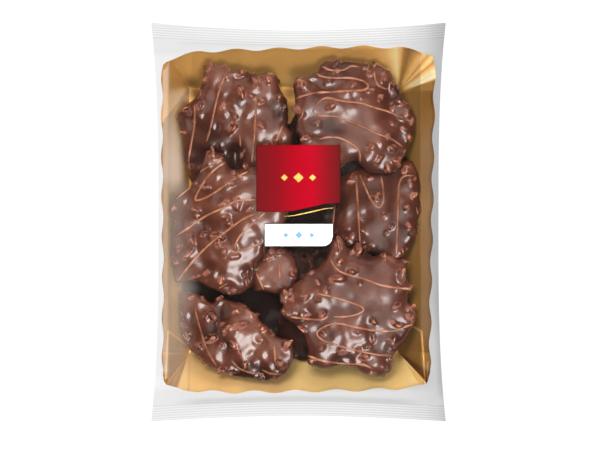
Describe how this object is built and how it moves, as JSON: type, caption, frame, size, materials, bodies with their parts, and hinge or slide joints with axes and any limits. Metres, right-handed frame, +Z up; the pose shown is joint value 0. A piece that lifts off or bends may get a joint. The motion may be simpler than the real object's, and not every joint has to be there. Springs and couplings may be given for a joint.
{
  "type": "pack of chocolate-coated gingerbread",
  "caption": "Clear film pack with crimped ends around a gold card tray heaped with round, nut-studded, chocolate-coated gingerbread under fine caramel-coloured drizzle.",
  "frame": {"origin": "under the middle of the pack, on the surface that it lies on", "axes": "+X across the pack, +Y along it towards the upper seal, +Z up out of the shown side"},
  "size_m": [0.177, 0.2394, 0.0319],
  "materials": {
    "clear_film": "clear glossy packaging film, slightly grey, with soft creases",
    "gold_card": "gold foil laminated on card, satin, with folds",
    "chocolate": "glossy milk chocolate over chopped nuts, uneven",
    "drizzle": "thin lines of lighter brown icing",
    "print_red": "red printing on film, brighter along its middle",
    "print_white": "opaque white printing on film",
    "print_gold": "opaque gold printing on film",
    "print_blue": "opaque grey-blue printing on film"
  },
  "bodies": {
    "root": {"sealed_bag": "clear_film"}
  },
  "joints": []
}
